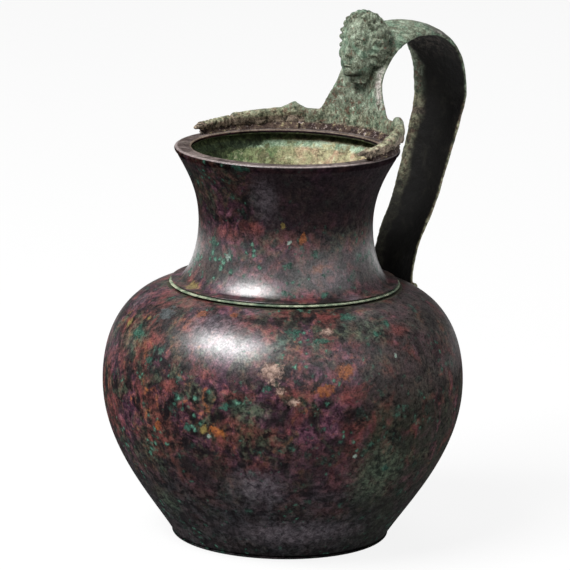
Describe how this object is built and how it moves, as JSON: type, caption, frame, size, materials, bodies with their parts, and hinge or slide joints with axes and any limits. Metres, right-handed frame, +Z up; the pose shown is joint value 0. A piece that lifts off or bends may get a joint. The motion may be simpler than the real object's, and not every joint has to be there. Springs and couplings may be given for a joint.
{
  "type": "bronze jug",
  "caption": "Round-bellied bronze jug with a waisted neck, an inturned lip and an arched strap handle carrying a small head and rim arms.",
  "frame": {"origin": "middle of the boss on the underside, where the jug's axis meets the surface that it stands on", "axes": "+Z up along the jug's axis, +X towards the handle, so the mouth is in front of the head on -X"},
  "size_m": [0.1413, 0.1156, 0.1663],
  "materials": {
    "vessel_bronze": "smooth dark brown-violet patina with red, orange and green spots",
    "casting_bronze": "matt grey-green patina with brown specks",
    "corroded_solder": "rough pale green and brown crust"
  },
  "bodies": {
    "root": {"belly_shell": "vessel_bronze", "neck": "vessel_bronze", "base_disc": "vessel_bronze", "neck_solder": "corroded_solder", "base_solder": "corroded_solder", "leaf_solder": "corroded_solder", "rim_solder_back": "corroded_solder", "rim_solder_left": "corroded_solder", "rim_solder_right": "corroded_solder", "handle": "casting_bronze", "head": "casting_bronze"}
  },
  "joints": []
}
